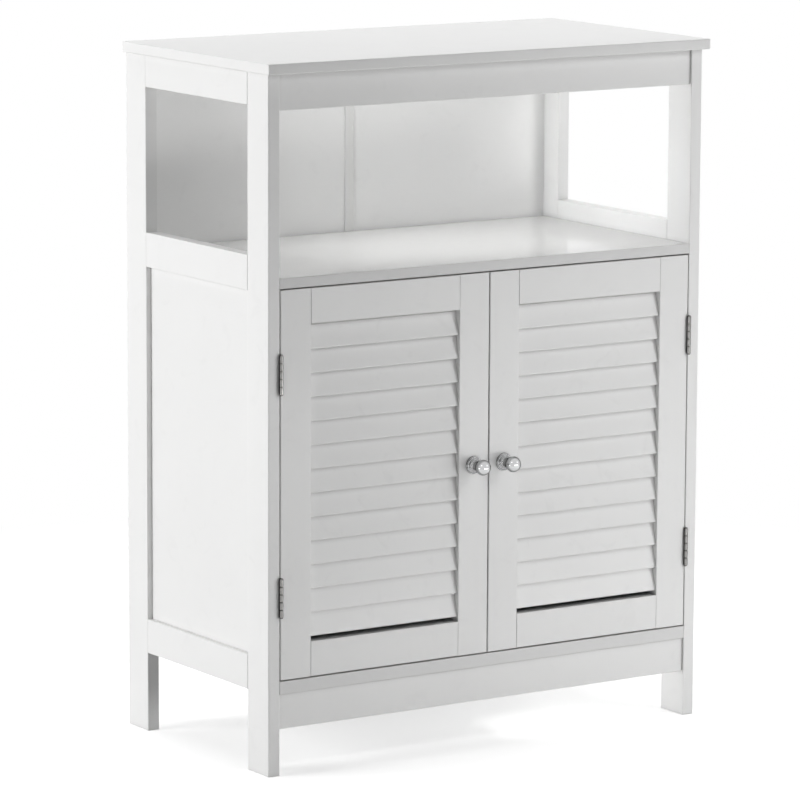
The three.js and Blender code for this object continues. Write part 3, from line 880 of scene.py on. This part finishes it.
# screws: countersunk for the leaves and strike plates, round headed for the knobs and the catch
screwValues = {
    "sides": 32,
    "countersunk": [
        (0.0012, -0.0013), (0.0013, -0.00095), (0.0022, -0.0001), (0.0023, -0.00004),
        (0.0021, 0), (0.0012, 0.00002),
    ],
    "countersunkCross": (0.00135, 0.00042, 0.0006),  # reach, width, depth
    "countersunkSmooth": 30,
    "round": [
        (0.0018, -0.0004), (0.0034, -0.0002), (0.0037, 0.0003), (0.0037, 0.0009),
        (0.0034, 0.0015), (0.0028, 0.00195), (0.0019, 0.00225), (0.0009, 0.0024),
    ],
    "roundCross": (0.0019, 0.0006, 0.0012),
    "washer": [(0.0052, 0), (0.0054, 0.0001), (0.0054, 0.0007), (0.0052, 0.0008)],
    "smooth": 34,
}


def makeScrews(values):
    countersunk = turnPiece("countersunkModel", values["countersunk"], values["sides"])
    cutCross(countersunk, values["countersunkCross"], 0)
    smoothPiece(countersunk, values["countersunkSmooth"])
    roundHead = turnPiece("roundHeadModel", values["round"], values["sides"])
    cutCross(roundHead, values["roundCross"], values["round"][-1][1])
    smoothPiece(roundHead, values["smooth"])
    washer = turnPiece("washerModel", values["washer"], values["sides"])
    smoothPiece(washer, values["smooth"])
    return countersunk, roundHead, washer


countersunkModel, roundHeadModel, washerModel = makeScrews(screwValues)
print("screws ready")

# hinges: pressed leaves with screws, smooth knuckles and a pin with button tips
hingeValues = {
    "sides": 40,
    "height": 0.044,
    "radius": 0.0023,
    "bore": 0.00135,
    "pinRadius": 0.0011,
    "knuckles": 5,
    "gap": 0.0006,
    "ease": 0.0003,
    "leafNear": 0.00015,  # x of the leaf's two faces, from the pin
    "leafFar": 0.00105,
    "leafFront": 0.0029,  # y of its ends, and of the tabs that reach the knuckles
    "leafRear": 0.0166,
    "tabFront": 0.0017,
    "tip": [
        (0.0004, 0.02325), (0.0012, 0.02308), (0.00175, 0.0227), (0.00195, 0.0223),
        (0.0018, 0.02205),
    ],
    "screwSpacing": 0.014,
    "screwY": 0.00975,  # behind the pin
    "screwSink": 0.00005,
    "screwTurn": 25,  # degrees, of the middle screw's cross
    "screwTurnStep": 40,
    "hole": [(0.0015, -0.002), (0.0015, -0.0009), (0.00245, -0.00001), (0.00245, 0.0004)],
    "holeSides": 32,
    "smooth": 32,
}


def knuckleSpans(values):
    pitch = values["height"] / values["knuckles"]
    spans = []
    for index in range(values["knuckles"]):
        low = -values["height"] / 2 + index * pitch
        spans.append((low + values["gap"] / 2, low + pitch - values["gap"] / 2))
    return spans


def easedKnuckle(values, low, high):
    radius, ease = values["radius"], values["ease"]
    return [
        (radius - ease, low), (radius, low + ease), (radius, high - ease), (radius - ease, high),
    ]


# the plate is cut across at the knuckles, and its front is drawn out to its own knuckles;
# side is -1 for the leg's leaf and 1 for the door's
def makeLeafPlate(name, values, spans, side):
    def atKnuckle(centre):
        return any(low < centre.z < high for low, high in spans)

    left, right = sorted((side * values["leafNear"], side * values["leafFar"]))
    half = (values["height"] - values["gap"]) / 2
    plate = blockPiece(name, (left, values["leafFront"], -half), (right, values["leafRear"], half))
    takePiece(plate)
    bpy.ops.object.mode_set(mode="EDIT")
    for low, high in spans:
        for level in (low, high):
            if abs(level) < half - values["ease"]:
                bpy.ops.mesh.select_all(action="SELECT")
                bpy.ops.mesh.bisect(plane_co=(0, 0, level), plane_no=(0, 0, 1))
    bpy.ops.mesh.select_all(action="DESELECT")
    bpy.ops.mesh.select_mode(type="FACE")
    selectFaces(plate, lambda centre, normal: normal.y < -facing and atKnuckle(centre))
    bpy.ops.mesh.extrude_region_move(
        TRANSFORM_OT_translate={"value": (0, values["tabFront"] - values["leafFront"], 0)}
    )
    bpy.ops.object.mode_set(mode="OBJECT")
    cutter = turnPiece("holeCutter", values["hole"], values["holeSides"])
    turn = Matrix.Rotation(radians(-90 * side), 4, "Y")
    for index in (-1, 0, 1):
        place = (side * values["leafNear"], values["screwY"], index * values["screwSpacing"])
        cutWith(plate, placeCopy(cutter, "hole", turn, place))
    bpy.data.objects.remove(cutter)
    return plate


def makeLegLeaf(values, spans):
    own = spans[0::2]
    tip = values["tip"]
    steps = [(radius, -height) for radius, height in tip]
    for low, high in own:
        if low != own[0][0]:
            steps.append((values["pinRadius"], low))
        steps += easedKnuckle(values, low, high)
        if high != own[-1][1]:
            steps.append((values["pinRadius"], high))
    steps += list(reversed(tip))
    barrel = turnPiece("legBarrel", steps, values["sides"])
    plate = makeLeafPlate("legLeafModel", values, own, -1)
    leaf = joinPieces(plate, [barrel])
    smoothPiece(leaf, values["smooth"])
    return leaf


# each ring's two end discs are bridged, which opens the bore
def makeDoorLeaf(values, spans):
    def onAxis(centre, normal):
        return abs(normal.z) > facing and abs(centre.x) + abs(centre.y) < hair

    own = spans[1::2]
    bore = values["bore"]
    rings = []
    for low, high in own:
        steps = [(bore, low)] + easedKnuckle(values, low, high) + [(bore, high)]
        ring = turnPiece("doorKnuckle", steps, values["sides"])
        bpy.ops.object.mode_set(mode="EDIT")
        bpy.ops.mesh.select_mode(type="FACE")
        bpy.ops.mesh.select_all(action="DESELECT")
        selectFaces(ring, onAxis)
        bpy.ops.mesh.bridge_edge_loops()
        bpy.ops.mesh.select_all(action="SELECT")
        bpy.ops.mesh.normals_make_consistent(inside=False)
        bpy.ops.object.mode_set(mode="OBJECT")
        rings.append(ring)
    plate = makeLeafPlate("doorLeafModel", values, own, 1)
    leaf = joinPieces(plate, rings)
    smoothPiece(leaf, values["smooth"])
    return leaf


spans = knuckleSpans(hingeValues)
legLeafModel = makeLegLeaf(hingeValues, spans)
doorLeafModel = makeDoorLeaf(hingeValues, spans)


def fitHinge(side, level, values):
    low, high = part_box(f"hinge_{level}_{side}_leg_leaf")
    centre = Vector(((low.x + high.x) / 2, low.y + values["radius"], (low.z + high.z) / 2))
    turn = noTurn if side == "left" else Matrix.Rotation(pi, 4, "Y")
    carriers = (("leg", legLeafModel, "cabinet", -1), ("door", doorLeafModel, side + "_door", 1))
    for carrier, model, body, outward in carriers:
        cadName = f"hinge_{level}_{side}_{carrier}_leaf"
        leaf = placeCopy(model, cadName + "_plated", turn, centre)
        finishPiece(leaf, body, "nickel")
        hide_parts(cadName)
        faceOut = turn @ Matrix.Rotation(radians(-90 * outward), 4, "Y")
        screwX = outward * (values["leafNear"] + values["screwSink"])
        for index in (-1, 0, 1):
            degrees = values["screwTurn"] + values["screwTurnStep"] * index
            screwTurn = faceOut @ Matrix.Rotation(radians(degrees), 4, "Z")
            offset = Vector((screwX, values["screwY"], index * values["screwSpacing"]))
            place = centre + turn.to_3x3() @ offset
            screw = placeCopy(countersunkModel, f"{cadName}_screw_{index + 2}", screwTurn, place)
            finishPiece(screw, body, "nickel")


for side in sides:
    for level in ("upper", "lower"):
        fitHinge(side, level, hingeValues)
bpy.data.objects.remove(legLeafModel)
bpy.data.objects.remove(doorLeafModel)
print("hinges ready")


# behind each knob: a washer and a round headed machine screw on the door's back
def fitKnobScrew(side):
    knobLow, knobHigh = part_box(side + "_knob")
    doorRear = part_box(side + "_door_frame")[1].y
    place = Vector(((knobLow.x + knobHigh.x) / 2, doorRear, (knobLow.z + knobHigh.z) / 2))
    washer = placeCopy(washerModel, side + "_knob_washer", faceBack, place)
    finishPiece(washer, side + "_door", "zinc")
    onWasher = place + Vector((0, screwValues["washer"][-1][1], 0))
    screw = placeCopy(roundHeadModel, side + "_knob_screw", faceBack, onWasher)
    finishPiece(screw, side + "_door", "zinc")


for side in sides:
    fitKnobScrew(side)


# catch: a magnet between two pole plates in each pocket, a screw through each ear, and a strike
# plate on each door
catchValues = {
    "magnetWidth": 0.0114,
    "magnetHeight": 0.0029,
    "poleHeight": 0.0008,
    "pocketDepth": 0.0015,
    "poleProud": 0.00025,
    "magnetBack": 0.0003,
    "pocketX": 0.011,  # from the cabinet's middle
    "earReach": 0.009,
    "earThickness": 0.002,
    "strikeWidth": 0.019,
    "strikeHeight": 0.0085,
    "strikeThickness": 0.0009,
    "strikeHole": [(0.0016, -0.003), (0.0016, -0.0009), (0.0025, 0), (0.0025, 0.001)],
    "strikeSides": 32,
    "strikeSharpest": 60,  # degrees: the hole's edges stay as cut
    "strikeSmooth": 32,
    "ease": 0.00015,
}


def fitCatch(values):
    low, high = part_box("magnetic_catch")
    middleZ = (low.z + high.z) / 2
    middleY = (low.y + high.y) / 2
    for side, sign in sides.items():
        x = sign * values["pocketX"]
        halfWidth, halfHeight = values["magnetWidth"] / 2, values["magnetHeight"] / 2
        magnet = blockPiece(
            side + "_catch_magnet",
            (x - halfWidth, low.y + values["magnetBack"], middleZ - halfHeight),
            (x + halfWidth, low.y + values["pocketDepth"], middleZ + halfHeight),
        )
        easeEdges(magnet, values["ease"])
        smoothPiece(magnet)
        finishPiece(magnet, "cabinet", "ferrite")
        poleBases = {
            "upper": middleZ + halfHeight,
            "lower": middleZ - halfHeight - values["poleHeight"],
        }
        for level, base in poleBases.items():
            pole = blockPiece(
                f"{side}_catch_pole_{level}",
                (x - halfWidth, low.y - values["poleProud"], base),
                (x + halfWidth, low.y + values["pocketDepth"], base + values["poleHeight"]),
            )
            easeEdges(pole, values["ease"])
            smoothPiece(pole)
            finishPiece(pole, "cabinet", "steel")
        earX = sign * (high.x - values["earReach"] / 2)
        place = (earX, middleY, high.z - values["earThickness"])
        screw = placeCopy(roundHeadModel, side + "_catch_screw", faceDown, place)
        finishPiece(screw, "cabinet", "zinc")
        fitStrike(side, x, middleZ, values)


def fitStrike(side, x, z, values):
    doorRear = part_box(side + "_door_frame")[1].y
    strikeRear = doorRear + values["strikeThickness"]
    halfWidth, halfHeight = values["strikeWidth"] / 2, values["strikeHeight"] / 2
    strike = blockPiece(
        side + "_strike_plate",
        (x - halfWidth, doorRear, z - halfHeight),
        (x + halfWidth, strikeRear, z + halfHeight),
    )
    cutter = turnPiece("strikeCutter", values["strikeHole"], values["strikeSides"])
    cutter.data.transform(Matrix.Translation((x, strikeRear, z)) @ faceBack)
    cutWith(strike, cutter)
    easeEdges(strike, values["ease"], values["strikeSharpest"])
    smoothPiece(strike, values["strikeSmooth"])
    finishPiece(strike, side + "_door", "steel")
    screw = placeCopy(countersunkModel, side + "_strike_screw", faceBack, (x, strikeRear, z))
    finishPiece(screw, side + "_door", "nickel")


fitCatch(catchValues)
print("catch ready")


# shelf pins: a plated sleeve over each pin with a collar on the leg, and liners in the spare holes
shelfPinValues = {
    "pinDrop": 0.0027,  # from the shelf's underside to the middle of the pin
    "fromLegEdge": 0.013,
    "holeSpacing": 0.064,
    "sleeve": [
        (0.0034, 0), (0.0035, 0.0001), (0.0035, 0.0005), (0.0033, 0.0006), (0.0026, 0.0006),
        (0.0026, 0.0088), (0.0023, 0.0091), (0.0015, 0.0092),
    ],
    "liner": [
        (0.0034, 0), (0.0035, 0.0001), (0.0035, 0.0003), (0.0033, 0.0005), (0.0025, 0.0005),
        (0.0023, 0.0003), (0.0023, -0.006),
    ],
    "sides": 32,
    "smooth": 34,
}


def fitShelfPins(values):
    sleeve = turnPiece("sleeveModel", values["sleeve"], values["sides"])
    smoothPiece(sleeve, values["smooth"])
    liner = turnPiece("linerModel", values["liner"], values["sides"])
    smoothPiece(liner, values["smooth"])
    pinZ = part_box("inner_shelf")[0].z - values["pinDrop"]
    for side, sign in sides.items():
        turn = Matrix.Rotation(radians(-90 * sign), 4, "Y")
        railLow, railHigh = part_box("side_bottom_rail_" + side)
        x = railHigh.x if side == "left" else railLow.x
        for end in ("front", "rear"):
            low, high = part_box(f"leg_{end}_{side}")
            fromEdge = values["fromLegEdge"]
            y = high.y - fromEdge if end == "front" else low.y + fromEdge
            pin = placeCopy(sleeve, f"shelf_pin_{end}_{side}", turn, (x, y, pinZ))
            finishPiece(pin, "cabinet", "nickel")
            for label, offset in (("low", -1), ("high", 1)):
                place = (x, y, pinZ + offset * values["holeSpacing"])
                ring = placeCopy(liner, f"pin_liner_{label}_{end}_{side}", turn, place)
                finishPiece(ring, "cabinet", "nickel")
    bpy.data.objects.remove(sleeve)
    bpy.data.objects.remove(liner)


fitShelfPins(shelfPinValues)
print("shelf pins ready")


# cam locks: zinc drums with a rim and a cross recess, sunk in the bores of the boards and rails
camValues = {
    "sides": 40,
    "drum": [
        (0.0070, -0.0085), (0.0072, -0.0083), (0.0072, -0.0006), (0.0071, -0.0003),
        (0.0067, -0.0003), (0.0065, -0.0006), (0.0064, -0.0012), (0.0045, -0.0013),
        (0.0043, -0.0008), (0.0040, -0.0005),
    ],
    "cross": (0.0034, 0.0011, 0.0035),  # reach, width, depth
    "fromEnd": 0.024,
    "fromLeg": 0.022,
    "legDepth": 0.044,
    "pinReach": 0.009,  # a leg's box takes in its shelf pin
    "topGap": 0.0002,  # between the top and the rails under it
    "smooth": 32,
}


def fitCams(values):
    cam = turnPiece("camModel", values["drum"], values["sides"])
    cutCross(cam, values["cross"], values["drum"][-1][1])
    smoothPiece(cam, values["smooth"])
    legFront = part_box("leg_front_left")[0].y
    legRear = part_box("leg_rear_left")[1].y
    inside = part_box("leg_front_right")[0].x + values["pinReach"]
    rows = {
        "front": legFront + values["legDepth"] + values["fromLeg"],
        "rear": legRear - values["legDepth"] - values["fromLeg"],
    }
    for side, sign in sides.items():
        x = sign * (inside - values["fromEnd"])
        turnIn = Matrix.Rotation(radians(-90 * sign), 4, "Y")
        railX = sign * inside
        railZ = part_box("side_top_rail_" + side)[1].z + values["topGap"] - values["fromEnd"]
        for row, y in rows.items():
            for board in ("open_shelf", "bottom_board"):
                place = (x, y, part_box(board)[0].z)
                piece = placeCopy(cam, f"cam_{board}_{row}_{side}", faceDown, place)
                finishPiece(piece, "cabinet", "zinc")
            piece = placeCopy(cam, f"cam_top_rail_{row}_{side}", turnIn, (railX, y, railZ))
            finishPiece(piece, "cabinet", "zinc")
        for rail, gap in (("front_top_rail", values["topGap"]), ("front_bottom_rail", 0)):
            low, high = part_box(rail)
            middle = (low.z + high.z + gap) / 2
            piece = placeCopy(cam, f"cam_{rail}_{side}", faceBack, (x, high.y, middle))
            finishPiece(piece, "cabinet", "zinc")
    bpy.data.objects.remove(cam)


fitCams(camValues)
for model in (countersunkModel, roundHeadModel, washerModel):
    bpy.data.objects.remove(model)
print("cam locks ready")
